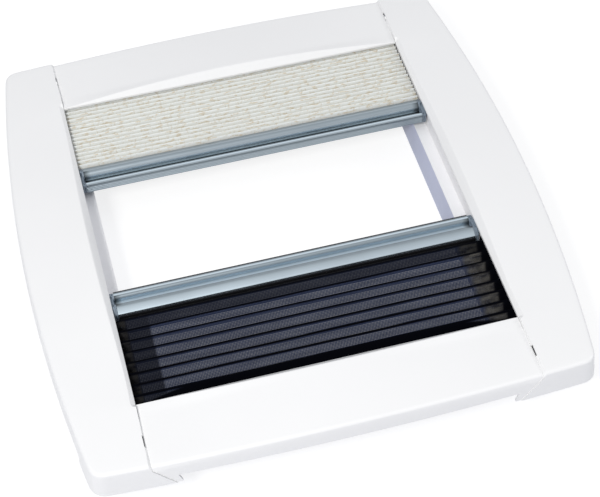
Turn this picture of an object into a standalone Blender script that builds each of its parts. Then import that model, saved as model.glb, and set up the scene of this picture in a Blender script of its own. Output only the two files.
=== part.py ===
"""Blind frame for a roof light: a pleated blackout and a pleated insect net.

It lies on its back, room side up. X runs across, along the pull bars, Y is the way
the bars slide, and Z points into the room. The roof collar's rim stands at Z = 0.
Left and right are -X and +X, near and far are -Y and +Y.
"""
import math

import bmesh
import bpy
from mathutils import Matrix, Vector

# Opening between the lips of the four covers, how wide the covers are at their
# middles, and how the outline of their top edge bows
OPENING_X = 0.350
OPENING_Y = 0.3766
SIDE_WIDE = 0.0690
END_WIDE = 0.0712
SIDE_BOW = 0.020
END_BOW = 0.007
CORNER_ROUND = 0.011

# Heights, from the rim of the roof collar up
COLLAR_DROP = 0.0375
FLANGE_THICK = 0.0025
LIP_HEIGHT = 0.0225

# Base frame
LEDGE = 0.0103
COLLAR_WALL = 0.0025
FLANGE_SIDE_INSET = 0.0280
FLANGE_END_INSET = 0.0105
WELL_CORNER = 0.006
FLANGE_CORNER = 0.012
CEILING_HOLE_R = 0.0022
CEILING_HOLE_INSET = 0.0065
CEILING_HOLE_FROM_END = 0.0490
CEILING_HOLES = 4

# Covers
COVER_WALL = 0.0022
LIP_FLANGE = 0.0022
CROWN_WIDTH = 0.0068
CROWN_HEIGHT = 0.0070
EDGE_RISE = 0.0015
EDGE_ROUND = 0.0035
SKIRT_START = 0.0040
SIDE_STEP = 0.0025
STEP_RUN = 0.012
STEP_OUT = 0.0010
SKIRT_DEEP = 0.0250
SKIRT_SHALLOW = 0.0160
SKIRT_FLARE = 0.0025
SEAM_LEAN = 0.0198
SEAM_GAP = 0.0004
DEEP_LONG = 0.0360
TAB_WIDTH = 0.0050
STEP_WIDTH = 0.0055
TONGUE_FROM_SLIT = 0.0040
TONGUE_LONG = 0.0150
TONGUE_OUT = 0.0090
TONGUE_SHY = 0.0001
SLIT_FROM_EDGE = 0.0209
SLIT_LONG = 0.0120
SLIT_WIDE = 0.0012

# Guide tracks: a channel under each side cover, open towards the well
TRACK_INSET = 0.0015
TRACK_WALL = 0.0016
TRACK_LIP = 0.0010
CHANNEL_DEPTH = 0.0100
CHANNEL_HEIGHT = 0.0042
TRACK_FOOT = 0.0135
TRACK_PAST_TONGUE = 0.0012
TRACK_SCREW_FROM_END = 0.0290
TRACK_SCREWS = 4

# Pull bars: one section, used twice and turned end for end
BAR_FRONT_BLIND = 0.0813
BAR_FRONT_NET = -0.0577
BAR_WIDE = 0.0250
BAR_WALL = 0.0015
BAR_RIM_UNDER_LIP = 0.0015
BAR_CHAMFER = 0.0006
RIM_RISE = 0.0019
RIM_ROUND = 0.0010
GROOVE_DEPTH = 0.0052
GROOVE_START = 0.0038
GROOVE_FLOOR_START = 0.0072
GROOVE_FLOOR_END = 0.0118
RIM_AT = 0.0180
SLOPE_DROP = 0.0036
FRONT_HEIGHT = 0.0099
FRONT_LINES = 3
LINE_DEPTH = 0.0003
EXTRUSION_END_GAP = 0.0042

# End caps with the glide that runs in the track
CAP_LIP_GAP = 0.0004
CAP_NOTCH = 0.0016
CAP_FILL_DROP = 0.0012
CAP_FILL_BACK = 0.0014
GLIDE_CLEAR = 0.0004
GLIDE_REACH = 0.0068
GLIDE_LONG = 0.0190
SPIGOT_LONG = 0.0150
SPRING_LONG = 0.0160
SPRING_HEIGHT = 0.0028
SPRING_THICK = 0.0005

# Fabrics
FABRIC_END_GAP = 0.0025
FABRIC_UNDER_LIP = 0.0029
FABRIC_THICK = 0.0005
BLIND_PLEATS = 25
BLIND_FOLD = 0.0100
NET_PLEATS = 13
NET_FOLD = 0.0150
CLAMP_THICK = 0.0012
CLAMP_HEIGHT = 0.0070
CLAMP_UNDER_RIDGE = 0.0041
RAIL_INSET = 0.0058
RAIL_WALL = 0.0016
RAIL_FOOT = 0.0095
RAIL_UNDER_FABRIC = 0.0010
RAIL_END_GAP = 0.0050
RAIL_SCREW_FROM_END = 0.0300
RAIL_SCREWS = 3

# Small parts
GASKET_THICK = 0.0012
GASKET_HEIGHT = 0.0030
GASKET_UNDER_RIDGE = 0.0008
SCREW_R = 0.0015
SCREW_HEAD_R = 0.0028
SCREW_HEAD = 0.0018
CATCH_FROM_SEAM = 0.0085
CATCH_WIDE = 0.0100
CATCH_FOOT = 0.0060
CATCH_STEM = 0.0016
CATCH_NOSE = 0.0032

# Clearance between pieces that rest on each other, and the overlap of shapes
# that are joined into one piece
SEAT = 0.0003
JOIN = 0.0004

# How finely the curved stretches of the covers and of the bar's groove are cut
SEAM_PARTS = 4
CORNER_PARTS = 6
SIDE_PARTS = 8
END_PARTS = 7
STEP_PARTS = 4
SLOPE_PARTS = 3
ROUND_PARTS = 4
GROOVE_PARTS = 4
SPRING_PARTS = 8

# Worked out from the values above
HALF_X = OPENING_X / 2
HALF_Y = OPENING_Y / 2
OUTER_HALF_X = HALF_X + SIDE_WIDE
OUTER_HALF_Y = HALF_Y + END_WIDE
CORNER_X = OUTER_HALF_X - SIDE_BOW
CORNER_Y = OUTER_HALF_Y - END_BOW
DEEP_SIDE = CORNER_Y - DEEP_LONG
FLANGE_HALF_X = OUTER_HALF_X - FLANGE_SIDE_INSET
FLANGE_HALF_Y = OUTER_HALF_Y - FLANGE_END_INSET
Z_FLANGE = COLLAR_DROP
Z_LEDGE = Z_FLANGE + FLANGE_THICK
Z_LIP = Z_LEDGE + LIP_HEIGHT
Z_LIP_UNDER = Z_LIP - LIP_FLANGE
TRACK_X = HALF_X + TRACK_INSET
TRACK_BACK_X = TRACK_X + CHANNEL_DEPTH
TRACK_TOP = Z_LIP_UNDER - SEAT
CHANNEL_TOP = TRACK_TOP - TRACK_LIP
CHANNEL_FLOOR = CHANNEL_TOP - CHANNEL_HEIGHT
GLIDE_Z = CHANNEL_TOP - CHANNEL_HEIGHT / 2
RIDGE_Z = Z_LIP - BAR_RIM_UNDER_LIP - RIM_RISE
BAR_HALF = HALF_X - EXTRUSION_END_GAP
CAP_END = HALF_X - CAP_LIP_GAP
STRIP_FACE = BAR_WIDE + SEAT + CLAMP_THICK
CLAMP_TOP = RIDGE_Z - CLAMP_UNDER_RIDGE
RAIL_FACE_Y = FLANGE_HALF_Y - RAIL_INSET
RAIL_HALF = HALF_X - RAIL_END_GAP
FABRIC_HALF = HALF_X - FABRIC_END_GAP
FABRIC_TOP = Z_LIP - FABRIC_UNDER_LIP

model = bpy.data.collections.new("skylight_window_blind")
cutters = bpy.data.collections.new("cutters")


def start_clean():
    for item in list(bpy.data.objects):
        bpy.data.objects.remove(item, do_unlink=True)
    for group in (model, cutters):
        bpy.context.scene.collection.children.link(group)


def material(name, color, roughness, metallic=0.0):
    made = bpy.data.materials.new(name)
    made.use_nodes = True
    shader = made.node_tree.nodes["Principled BSDF"]
    shader.inputs["Base Color"].default_value = (*color, 1.0)
    shader.inputs["Roughness"].default_value = roughness
    shader.inputs["Metallic"].default_value = metallic
    return made


def finish(item, color, roughness, metallic=0.0, smooth=None):
    """Give an object its own material and put it in the model's collection."""
    item.data.materials.clear()
    item.data.materials.append(material(item.name, color, roughness, metallic))
    if smooth is not None:
        item.data.shade_smooth()
        item.data.set_sharp_from_angle(angle=math.radians(smooth))
    for group in list(item.users_collection):
        group.objects.unlink(item)
    model.objects.link(item)
    return item


def to_mesh(curve_object):
    """Turn a curve into a mesh with its caps welded on."""
    graph = bpy.context.evaluated_depsgraph_get()
    mesh = bpy.data.meshes.new_from_object(curve_object.evaluated_get(graph))
    name, place = curve_object.name, curve_object.matrix_world.copy()
    bpy.data.objects.remove(curve_object, do_unlink=True)
    work = bmesh.new()
    work.from_mesh(mesh)
    bmesh.ops.remove_doubles(work, verts=work.verts, dist=1e-6)
    work.to_mesh(mesh)
    work.free()
    made = bpy.data.objects.new(name, mesh)
    made.matrix_world = place
    bpy.context.scene.collection.objects.link(made)
    return made


ALONG_X = Matrix(((0, 0, 1), (1, 0, 0), (0, 1, 0))).to_4x4()
ALONG_Y = Matrix(((1, 0, 0), (0, 0, -1), (0, 1, 0))).to_4x4()
ALONG_Z = Matrix.Identity(4)


def extrude_outline(name, outline, length, turn, at=(0, 0, 0)):
    """Extrude a flat outline, centred on its own plane, and place it."""
    curve = bpy.data.curves.new(name, "CURVE")
    curve.dimensions = "2D"
    curve.fill_mode = "BOTH"
    curve.extrude = length / 2
    spline = curve.splines.new("POLY")
    spline.points.add(len(outline) - 1)
    for point, (x, y) in zip(spline.points, outline):
        point.co = (x, y, 0, 1)
    spline.use_cyclic_u = True
    item = bpy.data.objects.new(name, curve)
    bpy.context.scene.collection.objects.link(item)
    item.matrix_world = Matrix.Translation(at) @ turn
    bpy.context.view_layer.update()
    return to_mesh(item)


def box(name, low, high):
    """A box between two corners, made from the cube primitive."""
    work = bmesh.new()
    bmesh.ops.create_cube(work, size=1.0)
    size = [b - a for a, b in zip(low, high)]
    bmesh.ops.scale(work, vec=size, verts=work.verts)
    mesh = bpy.data.meshes.new(name)
    work.to_mesh(mesh)
    work.free()
    item = bpy.data.objects.new(name, mesh)
    item.location = [(a + b) / 2 for a, b in zip(low, high)]
    bpy.context.scene.collection.objects.link(item)
    return item


def apply_boolean(target, tool, operation):
    """Cut or join, apply it and drop the tool."""
    bpy.context.view_layer.update()
    change = target.modifiers.new(operation.lower(), "BOOLEAN")
    change.operation = operation
    change.solver = "EXACT"
    change.object = tool
    graph = bpy.context.evaluated_depsgraph_get()
    mesh = bpy.data.meshes.new_from_object(target.evaluated_get(graph))
    target.modifiers.clear()
    target.data = mesh
    bpy.data.objects.remove(tool, do_unlink=True)


def cut(target, tool):
    apply_boolean(target, tool, "DIFFERENCE")


def join(target, tool):
    apply_boolean(target, tool, "UNION")


def drill(target, x, y, low, high, radius, sides=12):
    work = bmesh.new()
    bmesh.ops.create_cone(
        work, cap_ends=True, segments=sides, radius1=radius, radius2=radius,
        depth=high - low)
    mesh = bpy.data.meshes.new("drill")
    work.to_mesh(mesh)
    work.free()
    tool = bpy.data.objects.new("drill", mesh)
    tool.location = (x, y, (low + high) / 2)
    tool.rotation_euler.z = math.pi / sides
    cutters.objects.link(tool)
    tool.hide_render = True
    tool.display_type = "WIRE"
    cut(target, tool)


def mesh_object(name, work):
    bmesh.ops.remove_doubles(work, verts=work.verts, dist=1e-6)
    mesh = bpy.data.meshes.new(name)
    work.to_mesh(mesh)
    work.free()
    item = bpy.data.objects.new(name, mesh)
    bpy.context.scene.collection.objects.link(item)
    return item


def loft(name, rows, closed=False, flip=False):
    """Skin a row of sections that have equal counts of points."""
    work = bmesh.new()
    grid = [[work.verts.new(point) for point in row] for row in rows]
    turns = len(grid) if closed else len(grid) - 1
    for i in range(turns):
        here, there = grid[i], grid[(i + 1) % len(grid)]
        for j in range(len(here) - 1):
            corners = [here[j], here[j + 1], there[j + 1], there[j]]
            work.faces.new(reversed(corners) if flip else corners)
    return mesh_object(name, work)


def thicken(item, wall):
    """Give an open skin its wall, inwards from the faces' outer side."""
    shell = item.modifiers.new("wall", "SOLIDIFY")
    shell.thickness = wall
    shell.offset = -1
    shell.use_even_offset = True
    shell.use_rim = True
    graph = bpy.context.evaluated_depsgraph_get()
    bpy.context.view_layer.update()
    mesh = bpy.data.meshes.new_from_object(item.evaluated_get(graph))
    item.modifiers.clear()
    item.data = mesh
    return item


def smoothstep(t):
    t = min(1.0, max(0.0, t))
    return t * t * (3 - 2 * t)


def side_edge_x(y):
    """Half width of the top edge's outline at a place along Y."""
    return OUTER_HALF_X - SIDE_BOW * (y / CORNER_Y) ** 2


def end_edge_y(x):
    """Half length of the top edge's outline at a place along X."""
    return OUTER_HALF_Y - END_BOW * (x / CORNER_X) ** 2


def seam_places():
    """Along a seam, outwards: start and end of the tongue, then of the slit."""
    slit_end = end_edge_y(HALF_X) - SLIT_FROM_EDGE
    slit_start = slit_end - SLIT_LONG
    tongue_end = slit_start - TONGUE_FROM_SLIT
    return tongue_end - TONGUE_LONG, tongue_end, slit_start, slit_end


def track_half():
    return seam_places()[1] + TRACK_PAST_TONGUE


def evenly(count, reach):
    """Evenly spaced places from -reach to reach."""
    return [reach * (2 * k / (count - 1) - 1) for k in range(count)]


def ceiling_hole_places():
    x = FLANGE_HALF_X - CEILING_HOLE_INSET
    return [(x, y) for y in evenly(CEILING_HOLES, FLANGE_HALF_Y - CEILING_HOLE_FROM_END)]


def track_screw_places():
    x = TRACK_BACK_X + TRACK_WALL + TRACK_FOOT / 2
    return [(x, y) for y in evenly(TRACK_SCREWS, track_half() - TRACK_SCREW_FROM_END)]


def rail_screw_places():
    y = RAIL_FACE_Y - RAIL_FOOT / 2
    return [(x, y) for x in evenly(RAIL_SCREWS, RAIL_HALF - RAIL_SCREW_FROM_END)]


def rounded_rectangle(half_x, half_y, radius, z, steps=4):
    points = []
    for quarter, (sx, sy) in enumerate(((1, 1), (-1, 1), (-1, -1), (1, -1))):
        for k in range(steps + 1):
            angle = math.pi / 2 * (quarter + k / steps)
            points.append(Vector((
                sx * (half_x - radius) + radius * math.cos(angle),
                sy * (half_y - radius) + radius * math.sin(angle), z)))
    return points


def make_base_frame():
    """Flange against the ceiling, with the collar that lines the roof cut-out."""
    well_x, well_y = HALF_X - LEDGE, HALF_Y - LEDGE
    back_x, back_y = well_x + COLLAR_WALL, well_y + COLLAR_WALL
    back_corner = WELL_CORNER + COLLAR_WALL
    loops = [
        rounded_rectangle(well_x, well_y, WELL_CORNER, 0.0),
        rounded_rectangle(well_x, well_y, WELL_CORNER, Z_LEDGE),
        rounded_rectangle(FLANGE_HALF_X, FLANGE_HALF_Y, FLANGE_CORNER, Z_LEDGE),
        rounded_rectangle(FLANGE_HALF_X, FLANGE_HALF_Y, FLANGE_CORNER, Z_FLANGE),
        rounded_rectangle(back_x, back_y, back_corner, Z_FLANGE),
        rounded_rectangle(back_x, back_y, back_corner, 0.0),
    ]
    rows = [list(ring) + [ring[0]] for ring in loops]
    frame = loft("base_frame", rows, closed=True, flip=True)
    for side in (-1, 1):
        for x, y in ceiling_hole_places():
            drill(frame, side * x, y, 0.0, 2 * Z_LEDGE, CEILING_HOLE_R)
        for x, y in track_screw_places():
            drill(frame, side * x, y, 0.0, 2 * Z_LEDGE, SCREW_R + SEAT)
        for x, y in rail_screw_places():
            drill(frame, x, side * y, 0.0, 2 * Z_LEDGE, SCREW_R + SEAT)
    return finish(frame, (0.80, 0.80, 0.82), 0.35)


def top_points(inner, edge, normal, crown, step, rise):
    """Points of one cover section's top: inner edge, crest, slope and round."""
    inner, edge, normal = Vector(inner), Vector(edge), Vector(normal)
    shoulder = edge - normal * EDGE_ROUND
    reach = (shoulder - inner).length
    way = (shoulder - inner) / reach
    crest_z = Z_LIP + crown * CROWN_HEIGHT
    edge_z = Z_LIP + step + rise
    run = crown * CROWN_WIDTH
    points = [(inner, Z_LIP), (inner + way * run, crest_z)]
    for k in range(SLOPE_PARTS + 1):
        r = STEP_RUN + (reach - STEP_RUN) * k / SLOPE_PARTS
        line = crest_z + (edge_z - crest_z) * (r - run) / (reach - run)
        points.append((inner + way * r, crown * line + (1 - crown) * edge_z))
    for k in range(1, ROUND_PARTS + 1):
        angle = math.pi / 2 * k / ROUND_PARTS
        out = EDGE_ROUND * math.sin(angle)
        down = EDGE_ROUND * (1 - math.cos(angle))
        points.append((shoulder + normal * out, edge_z - down))
    return points


def skirt_levels(drop):
    """Heights of a skirt's points, with how far each has leaned and flared."""
    start = Z_LIP - SKIRT_START
    low = Z_LIP - drop
    levels = []
    for z in (start, (start + low) / 2, low):
        lean = (start - z) / (start - Z_LIP + SKIRT_DEEP)
        levels.append((z, lean, SKIRT_FLARE * (Z_LIP - z) / SKIRT_DEEP))
    return levels


def side_cover_rows():
    """Sections of the right cover, from the near seam round to the far seam."""
    inner_corner = (HALF_X, HALF_Y)
    curve_x = CORNER_X - CORNER_ROUND
    curve_y = CORNER_Y - CORNER_ROUND
    start = Vector((curve_x, end_edge_y(curve_x)))
    end = Vector((side_edge_x(curve_y), curve_y))
    bend = Vector((CORNER_X, CORNER_Y))
    stations = []
    for k in range(SEAM_PARTS):
        x = HALF_X + (curve_x - HALF_X) * k / SEAM_PARTS
        stations.append((inner_corner, (x, end_edge_y(x)), 1 - k / SEAM_PARTS))
    for k in range(CORNER_PARTS + 1):
        t = k / CORNER_PARTS
        place = start * (1 - t) ** 2 + bend * 2 * t * (1 - t) + end * t ** 2
        stations.append((inner_corner, tuple(place), 0.0))
    step_start, step_end = DEEP_SIDE + STEP_WIDTH / 2, DEEP_SIDE - STEP_WIDTH / 2
    for y in ((curve_y + step_start) / 2, step_start, DEEP_SIDE, step_end):
        stations.append((inner_corner, (side_edge_x(y), y), 0.0))
    for k in range(SIDE_PARTS):
        y = HALF_Y * (1 - k / SIDE_PARTS)
        stations.append(((HALF_X, y), (side_edge_x(y), y), 0.0))
    stations.append(((HALF_X, 0.0), (side_edge_x(0.0), 0.0), 0.0))
    mirrored = [
        ((i[0], -i[1]), (e[0], -e[1]), lean) for i, e, lean in reversed(stations[:-1])]
    return stations + mirrored


def outward_normals(places):
    """Unit normals of an outline that runs anticlockwise seen from above."""
    normals = []
    for k, place in enumerate(places):
        before = Vector(places[max(k - 1, 0)])
        after = Vector(places[min(k + 1, len(places) - 1)])
        way = (after - before).normalized()
        normals.append(Vector((-way.y, way.x)))
    normals[0] = Vector((0, 1))
    normals[-1] = Vector((0, -1))
    return normals


def make_side_cover(name, side):
    stations = side_cover_rows()
    edges = [edge for _, edge, _ in stations]
    normals = outward_normals(edges)
    rows = []
    for (inner, edge, lean), normal in zip(stations, normals):
        along = min(1.0, abs(inner[1]) / HALF_Y)
        crown = 1 - along ** 2
        rise = EDGE_RISE * (1 - min(1.0, abs(edge[1]) / CORNER_Y) ** 2)
        shifted = Vector(edge) + normal * STEP_OUT
        row = top_points(inner, shifted, normal, crown, SIDE_STEP, rise)
        deep = smoothstep(0.5 + (abs(edge[1]) - DEEP_SIDE) / STEP_WIDTH)
        drop = SKIRT_SHALLOW + (SKIRT_DEEP - SKIRT_SHALLOW) * deep
        foot = Vector(edge)
        if lean:
            foot.x -= SEAM_LEAN * lean
            foot.y = math.copysign(end_edge_y(foot.x), foot.y)
        for z, leaned, flare in skirt_levels(drop):
            place = Vector(edge).lerp(foot, leaned)
            row.append((place + normal * (STEP_OUT + flare), z))
        low = Z_LIP_UNDER if abs(edge[1]) <= HALF_Y else Z_LIP
        row.insert(0, (Vector(inner), low))
        rows.append([Vector((side * p.x, p.y, z)) for p, z in row])
    cover = loft(name, rows, flip=side > 0)
    thicken(cover, COVER_WALL)
    slit_x = side * HALF_X
    for end in (-1, 1):
        ys = sorted(end * y for y in seam_places()[2:])
        cut(cover, box("slit", (slit_x - SLIT_WIDE, ys[0], Z_LEDGE),
                       (slit_x + SLIT_WIDE, ys[1], 2 * Z_LIP)))
    return finish(cover, (0.90, 0.90, 0.92), 0.28, smooth=32)


def cross_cover_stations():
    """Places along X at the skirt's foot, from the left seam to the middle."""
    seam = HALF_X - SEAM_GAP - SEAM_LEAN
    step = seam - TAB_WIDTH
    places = [seam, step]
    places += [step - STEP_WIDTH * k / STEP_PARTS for k in range(1, STEP_PARTS + 1)]
    last = places[-1]
    places += [last * (1 - k / END_PARTS) for k in range(1, END_PARTS)]
    return [-x for x in places] + [0.0] + places[::-1]


def make_cross_cover(name, end):
    """Cover at one end; the near one is the far one turned half round."""
    top_ratio = (HALF_X - SEAM_GAP) / (HALF_X - SEAM_GAP - SEAM_LEAN)
    step = HALF_X - SEAM_GAP - SEAM_LEAN - TAB_WIDTH
    rows = []
    for foot_x in cross_cover_stations():
        x = foot_x * top_ratio
        along = abs(x) / (HALF_X - SEAM_GAP)
        crown = 1 - along ** 2
        rise = EDGE_RISE * crown
        inner = Vector((x, HALF_Y))
        edge = Vector((x, end_edge_y(x)))
        normal = Vector((0, 1))
        row = top_points(inner, edge, normal, crown, 0.0, rise)
        deep = smoothstep((abs(foot_x) - step) / STEP_WIDTH + 1)
        drop = SKIRT_SHALLOW + (SKIRT_DEEP - SKIRT_SHALLOW) * deep
        for z, leaned, flare in skirt_levels(drop):
            place_x = x + (foot_x - x) * leaned
            row.append((Vector((place_x, end_edge_y(place_x) + flare)), z))
        row.insert(0, (inner, Z_LIP_UNDER))
        rows.append([Vector((end * p.x, end * p.y, z)) for p, z in row])
    cover = loft(name, rows, flip=True)
    thicken(cover, COVER_WALL)
    for side in (-end, end):
        ys = sorted(end * y for y in seam_places()[:2])
        xs = sorted((side * (HALF_X - COVER_WALL), side * (HALF_X + TONGUE_OUT)))
        tongue = box("tongue", (xs[0], ys[0], Z_LIP_UNDER + TONGUE_SHY),
                     (xs[1], ys[1], Z_LIP - TONGUE_SHY))
        join(cover, tongue)
    return finish(cover, (0.90, 0.90, 0.92), 0.28, smooth=32)


def make_track(name, side):
    """Channel whose slot, just under the cover's lip, carries the glides."""
    foot_z = Z_LEDGE + SEAT
    floor_low = CHANNEL_FLOOR - TRACK_WALL
    back = TRACK_BACK_X
    foot_end = TRACK_X + TRACK_WALL + CHANNEL_DEPTH + TRACK_FOOT
    outline = [
        (TRACK_X, foot_z), (foot_end, foot_z), (foot_end, foot_z + TRACK_WALL),
        (TRACK_X + TRACK_WALL, foot_z + TRACK_WALL), (TRACK_X + TRACK_WALL, floor_low),
        (back + TRACK_WALL, floor_low), (back + TRACK_WALL, TRACK_TOP),
        (TRACK_X, TRACK_TOP), (TRACK_X, CHANNEL_TOP), (back, CHANNEL_TOP),
        (back, CHANNEL_FLOOR), (TRACK_X, CHANNEL_FLOOR),
    ]
    outline = [(side * x, z) for x, z in outline]
    track = extrude_outline(name, outline, 2 * track_half(), ALONG_Y)
    for x, y in track_screw_places():
        drill(track, side * x, y, Z_FLANGE, foot_z + 2 * TRACK_WALL, SCREW_R + SEAT)
    return finish(track, (0.82, 0.81, 0.80), 0.40)


def offset_path(points, distance):
    """Offset an open path to its right by a distance, with mitred corners."""
    shifted = []
    for k, point in enumerate(points):
        before = (point - points[k - 1]).normalized() if k else None
        after = (points[k + 1] - point).normalized() if k < len(points) - 1 else None
        before = before or after
        after = after or before
        a = Vector((before.y, -before.x))
        b = Vector((after.y, -after.x))
        middle = (a + b).normalized()
        shifted.append(point + middle * (distance / max(0.5, middle.dot(a))))
    return shifted


def groove_arc(x0, z0, x1, z1, steps):
    """A quarter-ellipse that leaves (x0, z0) downwards and lands level on (x1, z1)."""
    points = []
    for k in range(1, steps + 1):
        angle = math.pi / 2 * k / steps
        points.append(Vector((
            x0 + (x1 - x0) * (1 - math.cos(angle)), z0 + (z1 - z0) * math.sin(angle))))
    return points


def bar_skin(fine):
    """Outer side of the bar's section, front foot to rear foot; fine adds small detail."""
    bottom = -FRONT_HEIGHT
    edge_z = RIM_RISE - SLOPE_DROP
    floor_z = -GROOVE_DEPTH
    crest = (RIM_AT - RIM_ROUND, RIM_RISE - BAR_CHAMFER)
    falling = groove_arc(
        GROOVE_START, -BAR_CHAMFER, GROOVE_FLOOR_START, floor_z, GROOVE_PARTS)
    rising = groove_arc(*crest, GROOVE_FLOOR_END, floor_z, GROOVE_PARTS + 1)
    path = [Vector((0, bottom))]
    if not fine:
        path += [Vector((0, 0)), Vector((GROOVE_START, 0))] + falling + rising[::-1]
        path += [Vector((RIM_AT, RIM_RISE)), Vector((BAR_WIDE, edge_z))]
        return path + [Vector((BAR_WIDE, bottom))]
    pitch = FRONT_HEIGHT / (FRONT_LINES + 2)
    for k in range(1, FRONT_LINES + 1):
        z = bottom + pitch * k
        path += [Vector((0, z - LINE_DEPTH)), Vector((LINE_DEPTH, z)),
                 Vector((0, z + LINE_DEPTH))]
    path += [Vector((0, -BAR_CHAMFER)), Vector((BAR_CHAMFER, 0)),
             Vector((GROOVE_START - BAR_CHAMFER, 0)), Vector((GROOVE_START, -BAR_CHAMFER))]
    path += falling + rising[::-1]
    path += [Vector(crest), Vector((RIM_AT, RIM_RISE)),
             Vector((BAR_WIDE - BAR_CHAMFER, edge_z)),
             Vector((BAR_WIDE, edge_z - BAR_CHAMFER))]
    return path + [Vector((BAR_WIDE, bottom))]


def bar_outline():
    """Closed section of the extrusion: skin outside, wall thickness inside."""
    inner = offset_path(bar_skin(False), BAR_WALL)
    inner[0].y = inner[-1].y = -FRONT_HEIGHT
    return bar_skin(True) + inner[::-1]


def place_outline(outline, front, way):
    """Put a section's own (u, v) into world (y, z) for a bar that faces one way."""
    return [(front + way * p[0], RIDGE_Z + p[1]) for p in outline]


def make_bar(name, front, way):
    bar = extrude_outline(name, place_outline(bar_outline(), front, way),
                          2 * BAR_HALF, ALONG_X)
    return finish(bar, (0.62, 0.67, 0.71), 0.30, 0.9, smooth=35)


def cap_face_outline(filled):
    """The end cap's outline: the bar's section closed below, groove filled or open."""
    skin = bar_skin(False)
    if not filled:
        return skin
    groove = [k for k, p in enumerate(skin) if GROOVE_START < p.x < RIM_AT]
    level = [Vector((GROOVE_START, -CAP_FILL_DROP)),
             Vector((RIM_AT - CAP_FILL_BACK, -CAP_FILL_DROP))]
    return skin[:groove[0]] + level + skin[groove[-1] + 1:]


def make_cap(name, front, way, side):
    """End cap: spigot in the bar, face plate, and the glide in the track's slot."""
    notch_end = BAR_HALF + SEAT + CAP_NOTCH
    inner_mid = (BAR_HALF + SEAT + notch_end) / 2
    cap = extrude_outline(
        name, place_outline(cap_face_outline(False), front, way),
        notch_end - BAR_HALF - SEAT, ALONG_X, (side * inner_mid, 0, 0))
    face = extrude_outline(
        "face", place_outline(cap_face_outline(True), front, way),
        CAP_END - notch_end + JOIN, ALONG_X,
        (side * (notch_end - JOIN + CAP_END) / 2, 0, 0))
    join(cap, face)
    low = RIDGE_Z - FRONT_HEIGHT + JOIN
    ys = sorted((front + way * (BAR_WALL + SEAT), front + way * (BAR_WIDE - BAR_WALL - SEAT)))
    xs = sorted((side * (BAR_HALF - SPIGOT_LONG), side * (BAR_HALF + SEAT + JOIN)))
    roof = RIDGE_Z - GROOVE_DEPTH - BAR_WALL - SEAT
    join(cap, box("spigot", (xs[0], ys[0], low), (xs[1], ys[1], roof)))
    mid = front + way * BAR_WIDE / 2
    xs = sorted((side * (CAP_END - JOIN), side * (TRACK_X + GLIDE_REACH)))
    join(cap, box(
        "glide", (xs[0], mid - GLIDE_LONG / 2, CHANNEL_FLOOR + GLIDE_CLEAR),
        (xs[1], mid + GLIDE_LONG / 2, CHANNEL_TOP - GLIDE_CLEAR)))
    return finish(cap, (0.45, 0.48, 0.52), 0.45)


def make_spring(name, front, way, side):
    """Bowed leaf spring that presses the glide's end against the track's back."""
    mid = front + way * BAR_WIDE / 2
    room = CHANNEL_DEPTH - GLIDE_REACH - 2 * SEAT - SPRING_THICK
    base = TRACK_X + GLIDE_REACH + SEAT
    inner, outer = [], []
    for k in range(SPRING_PARTS + 1):
        t = k / SPRING_PARTS
        bow = room * math.sin(math.pi * t)
        y = mid + (t - 0.5) * SPRING_LONG
        inner.append((side * (base + bow), y))
        outer.append((side * (base + bow + SPRING_THICK), y))
    leaf = extrude_outline(
        name, inner + outer[::-1], SPRING_HEIGHT, ALONG_Z, (0, 0, GLIDE_Z))
    return finish(leaf, (0.60, 0.60, 0.60), 0.30, 0.9)


def make_clamp(name, front, way):
    """Strip along the bar's rear face that holds the fabric's last fold."""
    ys = sorted((front + way * (BAR_WIDE + SEAT), front + way * STRIP_FACE))
    strip = box(name, (-BAR_HALF, ys[0], CLAMP_TOP - CLAMP_HEIGHT), (BAR_HALF, ys[1], CLAMP_TOP))
    return finish(strip, (0.30, 0.30, 0.32), 0.60)


def make_gasket():
    """Soft seal on the net bar's front face, where the two bars meet."""
    top = RIDGE_Z - GASKET_UNDER_RIDGE
    low = BAR_FRONT_NET + SEAT
    strip = box("meeting_gasket", (-BAR_HALF, low, top - GASKET_HEIGHT),
                (BAR_HALF, low + GASKET_THICK, top))
    return finish(strip, (0.02, 0.02, 0.02), 0.80)


def make_pleats(name, start, end, folds, fold_width, color, roughness):
    """One zigzag sheet, folded by formula between its rail and its clamp strip.

    Both ends stop half way up a fold, level with the middle of the clamp strip.
    """
    count = 2 * folds
    half_pitch = (end - start) / count
    height = math.sqrt(fold_width ** 2 - half_pitch ** 2)
    fold_shift = FABRIC_THICK / 2 * fold_width / abs(half_pitch)
    crest = FABRIC_TOP - fold_shift
    held = CLAMP_TOP - CLAMP_HEIGHT / 2
    upper, lower = [], []
    for k in range(count + 1):
        y = start + half_pitch * k
        z, shift = (crest if k % 2 else crest - height), fold_shift
        if k in (0, count):
            z = held
            shift = FABRIC_THICK / 2 * math.hypot(1, (crest - held) / half_pitch)
        upper.append((y, z + shift))
        lower.append((y, z - shift))
    outline = upper + lower[::-1]
    pleats = extrude_outline(name, outline, 2 * FABRIC_HALF, ALONG_X)
    return finish(pleats, color, roughness)


def make_rail(name, end):
    """Angle under the cross cover that anchors the fabric's fixed end."""
    foot_z = Z_LEDGE + SEAT
    face = RAIL_FACE_Y
    top = FABRIC_TOP - RAIL_UNDER_FABRIC
    outline = [
        (face - RAIL_FOOT, foot_z), (face + RAIL_WALL, foot_z), (face + RAIL_WALL, top),
        (face, top), (face, foot_z + RAIL_WALL), (face - RAIL_FOOT, foot_z + RAIL_WALL)]
    outline = [(end * y, z) for y, z in outline]
    rail = extrude_outline(name, outline, 2 * RAIL_HALF, ALONG_X)
    for x, y in rail_screw_places():
        drill(rail, x, end * y, Z_FLANGE, foot_z + 2 * RAIL_WALL, SCREW_R + SEAT)
    return finish(rail, (0.70, 0.72, 0.74), 0.35, 0.8)


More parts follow.
